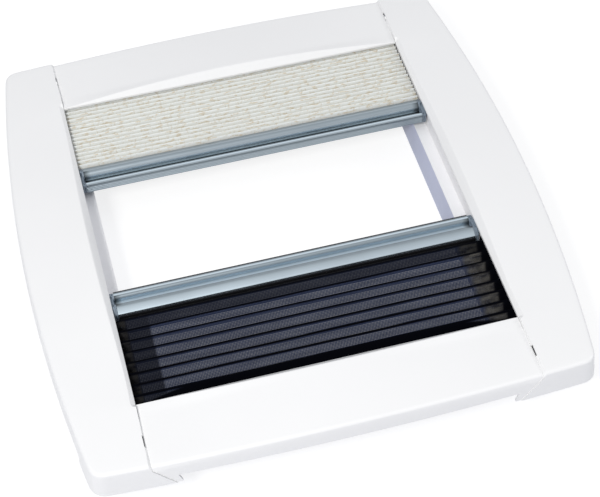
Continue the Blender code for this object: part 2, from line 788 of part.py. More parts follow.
def turned(name, profile, steps):
    """A profile in XZ turned about Z with a Screw modifier."""
    work = bmesh.new()
    points = [work.verts.new((r, 0, z)) for r, z in profile]
    for a, b in zip(points, points[1:]):
        work.edges.new((a, b))
    mesh = bpy.data.meshes.new(name)
    work.to_mesh(mesh)
    work.free()
    item = bpy.data.objects.new(name, mesh)
    bpy.context.scene.collection.objects.link(item)
    turn = item.modifiers.new("turn", "SCREW")
    turn.steps = turn.render_steps = steps
    turn.use_merge_vertices = True
    turn.merge_threshold = 1e-6
    bpy.context.view_layer.update()
    graph = bpy.context.evaluated_depsgraph_get()
    solid = bpy.data.meshes.new_from_object(item.evaluated_get(graph))
    item.modifiers.clear()
    item.data = solid
    return item


def make_screw(name, x, y):
    """Pan-head screw, its head on the foot it holds and its shank in the flange."""
    seat_z = Z_LEDGE + SEAT + TRACK_WALL + SEAT
    tip_z = Z_FLANGE + SEAT
    profile = [
        (0.0, seat_z + SCREW_HEAD), (SCREW_HEAD_R * 0.6, seat_z + SCREW_HEAD),
        (SCREW_HEAD_R, seat_z + SCREW_HEAD * 0.5), (SCREW_HEAD_R, seat_z),
        (SCREW_R, seat_z), (SCREW_R, tip_z), (0.0, tip_z)]
    screw = turned(name, profile, 10)
    screw.location = (x, y, 0)
    return finish(screw, (0.72, 0.73, 0.75), 0.30, 1.0, smooth=40)


def make_catch(name, side, end):
    """Spring catch on the flange whose nose holds a side cover at its seam."""
    low = Z_LEDGE + SEAT
    top = Z_LIP + SIDE_STEP - COVER_WALL - SEAT
    foot, stem, nose = CATCH_FOOT, CATCH_STEM, CATCH_NOSE
    outline = [
        (-foot, low), (foot, low), (foot, low + stem), (stem, low + stem),
        (stem, top - nose), (stem + nose, top - nose * 0.8), (stem, top), (-stem, top),
        (-stem, low + stem), (-foot, low + stem)]
    middle = sum(seam_places()[2:]) / 2
    outline = [(side * (HALF_X + CATCH_FROM_SEAM - x), z) for x, z in outline]
    catch = extrude_outline(name, outline, CATCH_WIDE, ALONG_Y, (0, end * middle, 0))
    return finish(catch, (0.25, 0.26, 0.28), 0.50)


def make_slide(name, front, way):
    """Empty on the line that a bar slides along, at the height of its glides."""
    slide = bpy.data.objects.new(name, None)
    slide.location = (0, front + way * BAR_WIDE / 2, GLIDE_Z)
    model.objects.link(slide)
    bpy.context.view_layer.update()
    return slide


def carry(slide, item):
    item.parent = slide
    item.matrix_parent_inverse = slide.matrix_world.inverted()


start_clean()
make_base_frame()
for side, hand in ((-1, "left"), (1, "right")):
    make_side_cover("side_cover_" + hand, side)
    make_track("guide_track_" + hand, side)
    for count, (x, y) in enumerate(track_screw_places(), 1):
        make_screw("track_screw_%s_%d" % (hand, count), side * x, y)
for end, reach in ((-1, "near"), (1, "far")):
    make_cross_cover("cross_cover_" + reach, end)
    for side, hand in ((-1, "left"), (1, "right")):
        make_catch("cover_catch_%s_%s" % (reach, hand), side, end)
for kind, front, way in (("blind", BAR_FRONT_BLIND, 1), ("net", BAR_FRONT_NET, -1)):
    slide = make_slide(kind + "_slide", front, way)
    carry(slide, make_bar(kind + "_pull_bar", front, way))
    for side, hand in ((-1, "left"), (1, "right")):
        carry(slide, make_cap("%s_cap_%s" % (kind, hand), front, way, side))
        carry(slide, make_spring("%s_brake_spring_%s" % (kind, hand), front, way, side))
    carry(slide, make_clamp(kind + "_clamp_strip", front, way))
    if kind == "net":
        carry(slide, make_gasket())
    make_rail(kind + "_anchor_rail", way)
    for count, (x, y) in enumerate(rail_screw_places(), 1):
        make_screw("%s_rail_screw_%d" % (kind, count), x, way * y)
make_pleats("blind_pleats", RAIL_FACE_Y - SEAT, BAR_FRONT_BLIND + STRIP_FACE + SEAT,
            BLIND_PLEATS, BLIND_FOLD, (0.86, 0.85, 0.80), 0.9)
make_pleats("net_pleats", SEAT - RAIL_FACE_Y, BAR_FRONT_NET - STRIP_FACE - SEAT,
            NET_PLEATS, NET_FOLD, (0.03, 0.035, 0.05), 0.85)
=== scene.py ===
"""Looks of the skylight blind frame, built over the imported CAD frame."""
import math

import bmesh
import bpy
from mathutils import Matrix, Vector, noise


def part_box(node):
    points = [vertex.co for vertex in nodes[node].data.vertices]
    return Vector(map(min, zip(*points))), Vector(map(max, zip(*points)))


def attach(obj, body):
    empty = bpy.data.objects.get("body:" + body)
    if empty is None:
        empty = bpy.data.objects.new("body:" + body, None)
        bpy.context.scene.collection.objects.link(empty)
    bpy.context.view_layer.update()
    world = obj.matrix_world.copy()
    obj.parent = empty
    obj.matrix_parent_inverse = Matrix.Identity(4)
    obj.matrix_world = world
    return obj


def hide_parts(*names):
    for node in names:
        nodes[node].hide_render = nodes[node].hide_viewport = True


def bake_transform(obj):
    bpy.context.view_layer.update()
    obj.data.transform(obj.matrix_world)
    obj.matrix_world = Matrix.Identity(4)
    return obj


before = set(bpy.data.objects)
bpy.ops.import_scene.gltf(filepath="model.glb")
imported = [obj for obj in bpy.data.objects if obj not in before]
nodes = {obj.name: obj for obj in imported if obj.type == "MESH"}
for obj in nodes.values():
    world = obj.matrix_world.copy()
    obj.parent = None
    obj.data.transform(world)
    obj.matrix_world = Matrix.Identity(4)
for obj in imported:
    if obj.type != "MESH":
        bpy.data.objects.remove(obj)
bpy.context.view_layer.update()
scene = bpy.context.scene

# The frame's own sizes, in metres
HALF_X, HALF_Y = 0.1750, 0.1883
SIDE_WIDE, END_WIDE = 0.0690, 0.0712
SIDE_BOW, END_BOW, CORNER_ROUND = 0.020, 0.007, 0.011
OUTER_HALF_X, OUTER_HALF_Y = HALF_X + SIDE_WIDE, HALF_Y + END_WIDE
CORNER_X, CORNER_Y = OUTER_HALF_X - SIDE_BOW, OUTER_HALF_Y - END_BOW
Z_FLANGE, Z_LEDGE, Z_LIP = 0.0375, 0.0400, 0.0625
WALL = 0.0022
Z_LIP_UNDER = Z_LIP - WALL
CROWN_WIDTH, CROWN_HEIGHT = 0.0068, 0.0070
EDGE_RISE, EDGE_ROUND, STEP_RUN = 0.0015, 0.0035, 0.012
SIDE_STEP, SIDE_BEVEL, CREST_SHARE, STEP_OUT = 0.0025, 0.0044, 1.45, 0.0010
SKIRT_START, SKIRT_DEEP, SKIRT_SHALLOW = 0.0040, 0.0250, 0.0160
# At a seam the side cover's edge leans in by SEAM_NARROWS, so the gap narrows outwards
SKIRT_FLARE, SEAM_LEAN, SEAM_GAP, SEAM_NARROWS = 0.0025, 0.0198, 0.00032, 0.0003
STEP_FADE, LEAST_RUN, OVERLAP_DROP = 0.055, 0.0006, 0.0008
# How much a cover's section is rounded: at the lip, at the crest and where the step ends
LIP_SOFT, CREST_SOFT, STEP_SOFT = 0.0004, 0.0012, 0.0030
DEEP_SIDE, STEP_WIDTH, TAB_WIDTH = CORNER_Y - 0.0360, 0.0055, 0.0050
# Slit over a spring catch: where it runs along Y, how wide it is and how low it goes
SLIT, SLIT_WIDE, SLIT_LOW, SLIT_TOOL = (0.2223, 0.2343), 0.0024, 0.0619, 0.05
# Tongue of a cross cover under a side cover: its size and its middle
TONGUE_SIZE, TONGUE_AT = (0.0110, 0.0150, 0.0018), (0.1785, 0.2108, 0.0614)
LEDGE, COLLAR_WALL, WELL_CORNER = 0.0103, 0.0025, 0.006
FLANGE_SIDE_INSET, FLANGE_END_INSET, FLANGE_CORNER = 0.0280, 0.0105, 0.012
CEILING_HOLES, CEILING_HOLE_R, SCREW_HOLE_R, DRILL_LONG = 4, 0.0022, 0.0018, 0.012
CEILING_HOLE_INSET, CEILING_HOLE_FROM_END = 0.0065, 0.0490
BAR_WIDE, BAR_WALL, RIDGE_Z = 0.0250, 0.0015, 0.0591
BAR_HALF, CAP_END, CAP_NOTCH, SEAT, END_SHADE = 0.1708, 0.1746, 0.0016, 0.0003, 0.0065
# Where each bar's front is on Y, and which way its section runs from there
BAR_FRONT = {"blind": (0.0813, 1), "net": (-0.0577, -1)}
# A bar's section: its foot and groove floor below the ridge, and the lines on its front
FOOT_Z, GROOVE_Z, LINE_PITCH, LINE_DEPTH = -0.0099, -0.0052, 0.00198, 0.0003
RIDGE_END, GROOVE_START, GROOVE_WIDE = 0.0032, 0.0068, 0.0052
WALL_FOOT_Z, FRONT_WALL_FOOT, REAR_WALL_FOOT = -0.0046, 0.0066, 0.0123
RIM_AT, RIM_RISE, SLOPE_AT, SLOPE_WIDE, SLOPE_DROP = 0.0176, 0.0019, 0.0182, 0.0062, 0.0034
# Where the painted bands of light and shade on a bar's skin end, from the front to the rear
FRONT_UNTIL, CHAMFER_UNTIL, RIDGE_UNTIL = 0.0005, 0.0015, 0.0034
FRONT_WALL_UNTIL, REAR_WALL_UNTIL = 0.0067, 0.0175
RAIL_FACE_Y, STRIP_FACE, HELD_Z = 0.2432, 0.0265, 0.0515
FABRIC_HALF, FABRIC_TOP = 0.1746, 0.0596
# End cap: the spigot in the bar, below the ridge, and the glide in the track's slot
SPIGOT_INSET, SPIGOT_LONG, SPIGOT_LAP, SPIGOT_Z = 0.0018, 0.015, 0.0007, (-0.0095, -0.0070)
GLIDE_END, GLIDE_HALF, GLIDE_Z = 0.1833, 0.0095, (0.0552, 0.0586)
JOIN, CAP_SOFT = 0.0004, 0.00025
# Fabric: rows along it, columns across it, and how far an end sags and an edge slips
ROW_STEP, COLUMNS, END_SAG, EDGE_SLIP = 0.0008, 150, 0.0008, 0.0005
HEM_LAP, HEM_DROP = 0.0003, 0.0002
# Dark marks of the net: its creases, their own colour and painted shade; painted shade at its
# ends over the track, its left part, by the bar and along the near lip; painted ledge light
CREASE_LINE, CREASE_THINS = 0.0036, 0.0024
RIGHT_END_SHADE, LEFT_EDGE_STRIP, LEFT_SHADOW_WIDE, LEDGE_LIGHT_PATCH = 0.0060, 0.0095, 0.030, 0.0260
LIP_SHADE, LIP_SHADE_MORE, LEFT_SHADOW_DARK, BAR_SHADE_DARK, LEFT_EDGE_SHADE_DARK = 0.0090, 0.0080, 0.78, 0.66, 0.68


def smoothstep(t):
    t = min(1.0, max(0.0, t))
    return t * t * (3 - 2 * t)


# Materials

def start_material(name):
    made = bpy.data.materials.new(name)
    made.use_nodes = True
    return made, made.node_tree, made.node_tree.nodes["Principled BSDF"]


def add(tree, kind, inputs=None, **settings):
    """Add a node, set its options and give its sockets values or links."""
    made = tree.nodes.new(kind)
    for key, value in settings.items():
        setattr(made, key, value)
    for key, value in (inputs or {}).items():
        if isinstance(value, bpy.types.NodeSocket):
            tree.links.new(value, made.inputs[key])
        else:
            made.inputs[key].default_value = value
    return made


def place(tree, scale=(1, 1, 1), attribute=None):
    """Coordinates that stay with the piece, stretched by a scale."""
    if attribute:
        source = attribute_of(tree, attribute, "Vector")
    else:
        source = add(tree, "ShaderNodeTexCoord").outputs["Object"]
    return add(tree, "ShaderNodeMapping", {"Vector": source, "Scale": scale}).outputs[0]


def noise_of(tree, where, scale, detail=3.0, roughness=0.5):
    return add(tree, "ShaderNodeTexNoise", {
        "Vector": where, "Scale": scale, "Detail": detail,
        "Roughness": roughness}).outputs["Fac"]


def math_of(tree, operation, first, second=None):
    inputs = {0: first} if second is None else {0: first, 1: second}
    return add(tree, "ShaderNodeMath", inputs, operation=operation).outputs[0]


def attribute_of(tree, name, output="Fac"):
    return add(tree, "ShaderNodeAttribute", attribute_name=name).outputs[output]


def ranged(tree, value, low, high, to_low, to_high, smooth=False):
    return add(tree, "ShaderNodeMapRange", {
        "Value": value, "From Min": low, "From Max": high, "To Min": to_low, "To Max": to_high},
        interpolation_type="SMOOTHSTEP" if smooth else "LINEAR").outputs["Result"]


def mixed(tree, share, first, second, blend="MIX"):
    made = add(tree, "ShaderNodeMix", data_type="RGBA", blend_type=blend)
    for number, value in ((0, share), (6, first), (7, second)):
        socket = made.inputs[number]
        if isinstance(value, bpy.types.NodeSocket):
            tree.links.new(value, socket)
        else:
            socket.default_value = value if isinstance(value, float) else (*value, 1)
    return made.outputs[2]


def bump(tree, shader, height, strength, distance):
    made = add(tree, "ShaderNodeBump", {
        "Height": height, "Strength": strength, "Distance": distance})
    tree.links.new(made.outputs[0], shader.inputs["Normal"])


def plastic(name, light, dark, rough, grain=0.10, specular=0.5, low=None):
    """Moulded plastic: faint clouding, fine spark texture, uneven gloss.

    With low, a (height, colour) pair, it is darkened below that height by painted shade of that
    colour.
    """
    made, tree, shader = start_material(name)
    where = place(tree)
    cloud = noise_of(tree, where, 14, 4)
    speck = noise_of(tree, where, 1500, 2)
    color = mixed(tree, cloud, light, dark)
    # Painted shade: the colour is multiplied darker below the given height
    if low:
        height = add(tree, "ShaderNodeSeparateXYZ", {"Vector": where}).outputs["Z"]
        shaded_below = ranged(tree, height, low[0], low[0] - 0.0006, 0.0, 1.0)
        color = mixed(tree, shaded_below, color, mixed(tree, 1.0, color, low[1], "MULTIPLY"))
    tree.links.new(color, shader.inputs["Base Color"])
    uneven = ranged(tree, noise_of(tree, where, 60, 3), 0.3, 0.7, rough - 0.04, rough + 0.04)
    tree.links.new(uneven, shader.inputs["Roughness"])
    bump(tree, shader, speck, grain, 0.0002)
    shader.inputs["Specular IOR Level"].default_value = specular
    return made


def metal(name, light, dark, rough, along=(3, 420, 420), grain=0.12, with_painted_shading=False):
    """Drawn metal: streaks along one way in colour, gloss and height, and painted light and
    shade from the mesh where asked.
    """
    made, tree, shader = start_material(name)
    streak = noise_of(tree, place(tree, along), 1.0, 4, 0.6)
    cloud = noise_of(tree, place(tree), 22, 3)
    color = mixed(tree, ranged(tree, streak, 0.25, 0.75, 0, 1), light, dark)
    # Painted light and shade: the mesh's bands of highlight and shade multiply the colour
    if with_painted_shading:
        painted_shading = attribute_of(tree, "painted_shading", "Color")
        color = mixed(tree, 1.0, color, painted_shading, "MULTIPLY")
    tree.links.new(color, shader.inputs["Base Color"])
    tree.links.new(ranged(tree, cloud, 0.3, 0.7, rough - 0.03, rough + 0.05),
                   shader.inputs["Roughness"])
    bump(tree, shader, streak, grain, 0.0002)
    shader.inputs["Metallic"].default_value = 1.0
    return made


def blackout_cloth():
    """Woven cream cloth with slubs that run both ways, with painted shade deep in the folds."""
    made, tree, shader = start_material("blackout_cloth")
    across = noise_of(tree, place(tree, (135, 460, 1), "cloth"), 1.0, 2)
    along = noise_of(tree, place(tree, (340, 150, 1), "cloth"), 1.0, 2)
    fine = noise_of(tree, place(tree, (900, 900, 1), "cloth"), 1.0, 2)
    patch = noise_of(tree, place(tree, (34, 40, 1), "cloth"), 1.0, 3)
    weft = add(tree, "ShaderNodeTexWave", {
        "Vector": place(tree, (0, 1, 0), "cloth"), "Scale": 420.0, "Distortion": 1.5,
        "Detail": 1.0}, bands_direction="Y").outputs["Fac"]
    base = mixed(tree, patch, (0.835, 0.855, 0.83), (0.89, 0.91, 0.90))
    slubs = ranged(tree, across, 0.52, 0.66, 0, 0.75, True)
    beige = mixed(tree, slubs, base, (0.70, 0.60, 0.43))
    slubs = ranged(tree, along, 0.56, 0.72, 0, 0.5, True)
    tan = mixed(tree, slubs, beige, (0.66, 0.59, 0.46))
    pale = mixed(tree, ranged(tree, fine, 0.50, 0.34, 0, 0.6, True), tan, (0.88, 0.91, 0.94))
    # Painted shade: darker the deeper a point lies in a fold
    deep = ranged(tree, attribute_of(tree, "depth"), 0.02, 0.30, 0, 1.0)
    fold_shade = mixed(tree, deep, pale, (0.86, 0.85, 0.82), "MULTIPLY")
    tree.links.new(fold_shade, shader.inputs["Base Color"])
    shader.inputs["Roughness"].default_value = 0.85
    shader.inputs["Specular IOR Level"].default_value = 0.15
    shader.inputs["Sheen Weight"].default_value = 0.10
    bump(tree, shader, math_of(tree, "ADD", weft, across), 0.22, 0.0004)
    return made


def net_cloth():
    """Black net: threads both ways with small openings between them.

    It is blacker and closed where the mesh says dark, mostly painted shade, and painted lighter
    brown-grey where the lit ledge below shows through.
    """
    made, tree, shader = start_material("net_cloth")
    pitch = 0.0014
    parts = add(tree, "ShaderNodeSeparateXYZ", {"Vector": place(tree, (1, 1, 1), "cloth")})
    open_share = None
    for axis in (0, 1):
        turn = math_of(tree, "MULTIPLY", parts.outputs[axis], 2 * math.pi / pitch)
        hole = ranged(tree, math_of(tree, "SINE", turn), -0.9, 0.9, 0.0, 1.0, True)
        open_share = hole if open_share is None else math_of(tree, "MULTIPLY", open_share, hole)
    patch = noise_of(tree, place(tree, (25, 300, 1), "cloth"), 1.0, 4)
    most = ranged(tree, patch, 0.3, 0.7, 0.16, 0.27)
    # Painted shade from the mesh, with the creases' own colour
    dark = attribute_of(tree, "dark")
    through = math_of(tree, "MULTIPLY", open_share, most)
    through = math_of(tree, "MULTIPLY", through, math_of(tree, "SUBTRACT", 1.0, dark))
    tree.links.new(math_of(tree, "SUBTRACT", 1.0, through), shader.inputs["Alpha"])
    thread = mixed(tree, patch, (0.018, 0.024, 0.052), (0.040, 0.052, 0.098))
    # Painted ledge light: lighter brown-grey patches where the lit ledge shows through the net
    ledge_light = noise_of(tree, place(tree, (85, 230, 1), "cloth"), 1.0, 2)
    ledge_light = mixed(tree, ranged(tree, ledge_light, 0.34, 0.62, 0, 1.0),
                 (0.022, 0.022, 0.026), (0.100, 0.095, 0.086))
    thread = mixed(tree, attribute_of(tree, "painted_ledge_light"), thread, ledge_light)
    between = ranged(tree, open_share, 0.2, 0.8, 0.0, 0.45)
    thread = mixed(tree, between, thread, (0.008, 0.010, 0.020))
    color = mixed(tree, dark, thread, (0.0010, 0.0013, 0.0030))
    tree.links.new(color, shader.inputs["Base Color"])
    shader.inputs["Roughness"].default_value = 0.8
    shader.inputs["Specular IOR Level"].default_value = 0.04
    bump(tree, shader, open_share, 0.3, 0.0003)
    return made


COVER = plastic("cover_plastic", (0.885, 0.884, 0.880), (0.862, 0.861, 0.858), 0.34, 0.06)
# Below the ledge the frame's collar is painted a blue-grey shade
FRAME = plastic("frame_plastic", (0.95, 0.95, 0.96), (0.92, 0.92, 0.935), 0.38, 0.08,
                low=(Z_LEDGE - 0.0004, (0.58, 0.62, 0.80)))
TRACK = plastic("track_plastic", (0.94, 0.93, 0.93), (0.90, 0.89, 0.90), 0.42)
CAP = plastic("cap_plastic", (0.20, 0.25, 0.30), (0.16, 0.20, 0.25), 0.40)
CATCH = plastic("catch_plastic", (0.30, 0.31, 0.33), (0.24, 0.25, 0.27), 0.50)
CLAMP = plastic("clamp_plastic", (0.006, 0.006, 0.008), (0.004, 0.004, 0.005), 0.65, 0.1, 0.12)
RUBBER = plastic("gasket_rubber", (0.016, 0.016, 0.018), (0.010, 0.010, 0.012), 0.70, 0.3)
# The bars' metal takes painted light and shade from their meshes
BAR = metal("bar_aluminium", (0.45, 0.525, 0.585), (0.405, 0.475, 0.53), 0.38, with_painted_shading=True)
RAIL = metal("rail_aluminium", (0.68, 0.70, 0.72), (0.60, 0.62, 0.65), 0.38)
STEEL = metal("screw_steel", (0.66, 0.66, 0.66), (0.52, 0.52, 0.53), 0.30, (200, 200, 200))
SPRING = metal("spring_steel", (0.58, 0.58, 0.58), (0.46, 0.46, 0.47), 0.28, (200, 200, 200))
BLACKOUT, NET = blackout_cloth(), net_cloth()

# A CAD node gets the first finish whose word is in its name
FINISHES = (("guide_track", TRACK), ("screw", STEEL), ("spring", SPRING), ("catch", CATCH),
            ("anchor_rail", RAIL), ("clamp", CLAMP), ("gasket", RUBBER), ("cap", CAP),
            ("pull_bar", BAR), ("base_frame", FRAME), ("cover", COVER))
for name, node in nodes.items():
    for word, finish in FINISHES:
        if word in name:
            for held in node.material_slots:
                held.material = finish
            break


# Meshing

def linked(name, work):
    """Make an object of a mesh, and put it into the scene."""
    mesh = bpy.data.meshes.new(name)
    work.to_mesh(mesh)
    work.free()
    made = bpy.data.objects.new(name, mesh)
    scene.collection.objects.link(made)
    return made


def smoothed(made, angle):
    """Shade an object smooth, apart from edges sharper than an angle in degrees."""
    made.data.shade_smooth()
    made.data.set_sharp_from_angle(angle=math.radians(angle))


def settled(made):
    """Give an object the mesh that its modifiers make, and remove them."""
    graph = bpy.context.evaluated_depsgraph_get()
    mesh = bpy.data.meshes.new_from_object(made.evaluated_get(graph))
    made.modifiers.clear()
    made.data = mesh


def piece(name, work, finish, body, stands_for=(), angle=None):
    """Make an object of a mesh, with its material and body, and hide the CAD nodes it stands
    for.
    """
    bmesh.ops.remove_doubles(work, verts=work.verts, dist=2e-6)
    bmesh.ops.dissolve_degenerate(work, dist=1e-7, edges=work.edges)
    bmesh.ops.recalc_face_normals(work, faces=work.faces)
    made = linked(name, work)
    made.data.materials.append(finish)
    if angle:
        smoothed(made, angle)
    if stands_for:
        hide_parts(*stands_for)
    if body:
        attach(made, body)
    return made


def rings(work, rows, closed=False):
    """Skin closed rings; the two ends get a cap unless the row itself closes."""
    grid = [[work.verts.new(point) for point in row] for row in rows]
    count = len(grid[0])
    for i in range(len(grid) if closed else len(grid) - 1):
        here, there = grid[i], grid[(i + 1) % len(grid)]
        for j in range(count):
            work.faces.new((here[j], here[(j + 1) % count], there[(j + 1) % count], there[j]))
    if not closed:
        work.faces.new(grid[0])
        work.faces.new(grid[-1][::-1])


def boolean(target, tool):
    """Cut a tool out of a target, and remove the tool."""
    change = target.modifiers.new("cut", "BOOLEAN")
    change.operation, change.solver, change.object = "DIFFERENCE", "EXACT", tool
    settled(target)
    bpy.data.objects.remove(tool, do_unlink=True)


def tool_object(work):
    made = linked("tool", work)
    bpy.context.view_layer.update()
    return made


def rounded(path, sizes, steps=4):
    """A flat path with its inner corners rounded, each by its own size."""
    points = [path[0]]
    for before, here, after, size in zip(path, path[1:], path[2:], sizes):
        a = here + (before - here).normalized() * min(size, (before - here).length * 0.45)
        b = here + (after - here).normalized() * min(size, (after - here).length * 0.45)
        for k in range(steps + 1):
            t = k / steps
            points.append(a * (1 - t) ** 2 + here * 2 * t * (1 - t) + b * t ** 2)
    return points + [path[-1]]


# Covers

def side_edge_x(y):
    return OUTER_HALF_X - SIDE_BOW * (y / CORNER_Y) ** 2


def end_edge_y(x):
    return OUTER_HALF_Y - END_BOW * (x / CORNER_X) ** 2


def top_section(inner, edge, normal, crown, step, rise, low, bevel=0.0):
    """Outer skin of a section, from under the lip over the crest to the edge.

    A side cover keeps a bevel of that width where its crown has died away.
    """
    inner, edge, normal = Vector(inner), Vector(edge), Vector(normal)
    shoulder = edge - normal * EDGE_ROUND
    reach = (shoulder - inner).length
    way = (shoulder - inner) / reach
    crest_z = Z_LIP + crown * CROWN_HEIGHT
    edge_z = Z_LIP + step + rise
    run = max(crown * CROWN_WIDTH, LEAST_RUN)
    if bevel:
        crest_z = Z_LIP + math.hypot(crown * CROWN_HEIGHT, (1 - crown) * step * CREST_SHARE)
        run = math.hypot(crown * CROWN_WIDTH, (1 - crown) * bevel)

    def slope_z(r):
        line = crest_z + (edge_z - crest_z) * (r - run) / (reach - run)
        return line if bevel else crown * line + (1 - crown) * edge_z

    path = [Vector((0, low)), Vector((0, Z_LIP)), Vector((run, crest_z)),
            Vector((STEP_RUN, slope_z(STEP_RUN))), Vector((reach, slope_z(reach)))]
    flat = rounded(path, (LIP_SOFT, CREST_SOFT * max(crown, 0.2), STEP_SOFT), 5)
    last = flat.pop()
    start = flat[-1].x
    for k in range(1, 9):
        r = start + (last.x - start) * k / 8
        flat.append(Vector((r, slope_z(r))))
    points = [(inner + way * p.x, p.y) for p in flat]
    for k in range(1, 9):
        angle = math.pi / 2 * k / 8
        points.append((shoulder + normal * (EDGE_ROUND * math.sin(angle)),
                       edge_z - EDGE_ROUND * (1 - math.cos(angle))))
    under = []
    for r in (WALL, max(WALL, run), STEP_RUN, (STEP_RUN + reach) / 2, reach):
        z = Z_LIP if r <= WALL else (crest_z if r == run else slope_z(r))
        under.append((inner + way * r, z - WALL))
    under.append((shoulder + normal * (EDGE_ROUND - WALL), edge_z - WALL * 1.3))
    return points, under


def skirt_levels(drop):
    """Heights of a skirt's points, with how far each has leaned and flared."""
    start, low = Z_LIP - SKIRT_START, Z_LIP - drop
    levels = []
    for k in range(6):
        z = start + (low - start) * k / 5
        lean = (start - z) / (start - Z_LIP + SKIRT_DEEP)
        levels.append((z, lean, SKIRT_FLARE * (Z_LIP - z) / SKIRT_DEEP))
    return levels


def side_stations():
    """(inner point, edge point, lean) from the near seam round to the far seam."""
    inner_corner = (HALF_X, HALF_Y)
    curve_x, curve_y = CORNER_X - CORNER_ROUND, CORNER_Y - CORNER_ROUND
    start = Vector((curve_x, end_edge_y(curve_x)))
    end = Vector((side_edge_x(curve_y), curve_y))
    bend = Vector((CORNER_X, CORNER_Y))
    stations = []
    seam_x = HALF_X - SEAM_NARROWS
    for t in (0, 0.04, STEP_FADE, 0.07, *[k / 12 for k in range(1, 12)]):
        x = seam_x + (curve_x - seam_x) * t
        stations.append((inner_corner, (x, end_edge_y(x)), 1 - t))
    for k in range(19):
        t = k / 18
        spot = start * (1 - t) ** 2 + bend * 2 * t * (1 - t) + end * t ** 2
        stations.append((inner_corner, tuple(spot), 0.0))
    step_start, step_end = DEEP_SIDE + STEP_WIDTH / 2, DEEP_SIDE - STEP_WIDTH / 2
    places = [curve_y + (step_start - curve_y) * k / 5 for k in range(1, 5)]
    places += [step_start + (step_end - step_start) * k / 10 for k in range(11)]
    places += [step_end + (HALF_Y - step_end) * k / 4 for k in range(1, 4)]
    for y in places:
        stations.append((inner_corner, (side_edge_x(y), y), 0.0))
    for k in range(32):
        y = HALF_Y * (1 - k / 32)
        stations.append(((HALF_X, y), (side_edge_x(y), y), 0.0))
    stations.append(((HALF_X, 0.0), (side_edge_x(0.0), 0.0), 0.0))
    return stations + [
        ((i[0], -i[1]), (e[0], -e[1]), lean) for i, e, lean in reversed(stations[:-1])]


def outward_normals(places):
    normals = []
    for k in range(len(places)):
        before = Vector(places[max(k - 1, 0)])
        after = Vector(places[min(k + 1, len(places) - 1)])
        way = (after - before).normalized()
        normals.append(Vector((-way.y, way.x)))
    normals[0], normals[-1] = Vector((0, 1)), Vector((0, -1))
    return normals


def close_section(points, under, skirt, normal):
    """Outer skin, skirt, and back along the inside, as one ring."""
    inside = [(spot - normal * WALL, z) for spot, z in skirt]
    return points + skirt + inside[::-1] + under[::-1]


def side_cover(name, side):
    stations = side_stations()
    normals = outward_normals([edge for _, edge, _ in stations])
    rows = []
    for (inner, edge, lean), normal in zip(stations, normals):
        along = min(1.0, abs(inner[1]) / HALF_Y)
        crown = 1 - along ** 2
        rise = EDGE_RISE * (1 - min(1.0, abs(edge[1]) / CORNER_Y) ** 2)
        low = Z_LIP_UNDER if abs(edge[1]) <= HALF_Y else Z_LIP - OVERLAP_DROP
        step = SIDE_STEP * (1 - max(0.0, 1 - (1 - lean) / STEP_FADE)) if lean else SIDE_STEP
        points, under = top_section(inner, Vector(edge) + normal * STEP_OUT, normal, crown,
                                    step, rise, low, SIDE_BEVEL)
        deep = smoothstep(0.5 + (abs(edge[1]) - DEEP_SIDE) / STEP_WIDTH)
        drop = SKIRT_SHALLOW + (SKIRT_DEEP - SKIRT_SHALLOW) * deep
        foot = Vector(edge)
        if lean:
            foot.x -= SEAM_LEAN * lean
            foot.y = math.copysign(end_edge_y(foot.x), foot.y)
        skirt = [(Vector(edge).lerp(foot, leaned) + normal * (STEP_OUT + flare), z)
                 for z, leaned, flare in skirt_levels(drop)]
        ring = close_section(points, under, skirt, normal)
        rows.append([Vector((side * p.x, p.y, z)) for p, z in ring])
    work = bmesh.new()
    rings(work, rows)
    made = piece(name + "_shell", work, COVER, None, [name])
    for end in (-1, 1):
        work = bmesh.new()
        bmesh.ops.create_cube(work, size=1.0)
        size = (SLIT_WIDE, SLIT[1] - SLIT[0], SLIT_TOOL)
        middle = (side * HALF_X, end * sum(SLIT) / 2, SLIT_LOW + SLIT_TOOL / 2)
        bmesh.ops.scale(work, vec=size, verts=work.verts)
        bmesh.ops.translate(work, vec=middle, verts=work.verts)
        boolean(made, tool_object(work))
    smoothed(made, 35)
    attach(made, "frame")


def cross_cover(name, end):
    top_seam = HALF_X - SEAM_GAP
    seam = top_seam - SEAM_LEAN
    step = seam - TAB_WIDTH
    places = [seam, (seam + step) / 2]
    places += [step - STEP_WIDTH * k / 10 for k in range(11)]
    last = places[-1]
    places += [last * (1 - k / 34) for k in range(1, 34)]
    rows = []
    for foot_x in [-x for x in places] + [0.0] + places[::-1]:
        x = foot_x * (top_seam / seam)
        crown = 1 - (abs(x) / top_seam) ** 2
        normal = Vector((0, 1))
        points, under = top_section((x, HALF_Y), (x, end_edge_y(x)), normal, crown, 0.0,
                                    EDGE_RISE * crown, Z_LIP_UNDER)
        deep = smoothstep((abs(foot_x) - step) / STEP_WIDTH + 1)
        drop = SKIRT_SHALLOW + (SKIRT_DEEP - SKIRT_SHALLOW) * deep
        skirt = []
        for z, leaned, flare in skirt_levels(drop):
            place_x = x + (foot_x - x) * leaned
            skirt.append((Vector((place_x, end_edge_y(place_x) + flare)), z))
        ring = close_section(points, under, skirt, normal)
        rows.append([Vector((p.x, end * p.y, z)) for p, z in ring])
    work = bmesh.new()
    rings(work, rows)
    for side in (-1, 1):
        made = bmesh.ops.create_cube(work, size=1.0)["verts"]
        middle = (side * TONGUE_AT[0], end * TONGUE_AT[1], TONGUE_AT[2])
        bmesh.ops.scale(work, vec=TONGUE_SIZE, verts=made)
        bmesh.ops.translate(work, vec=middle, verts=made)
    piece(name + "_shell", work, COVER, "frame", [name], 35)


for side, hand in ((-1, "left"), (1, "right")):
    side_cover("side_cover_" + hand, side)
for end, reach in ((-1, "near"), (1, "far")):
    cross_cover("cross_cover_" + reach, end)


# Base frame

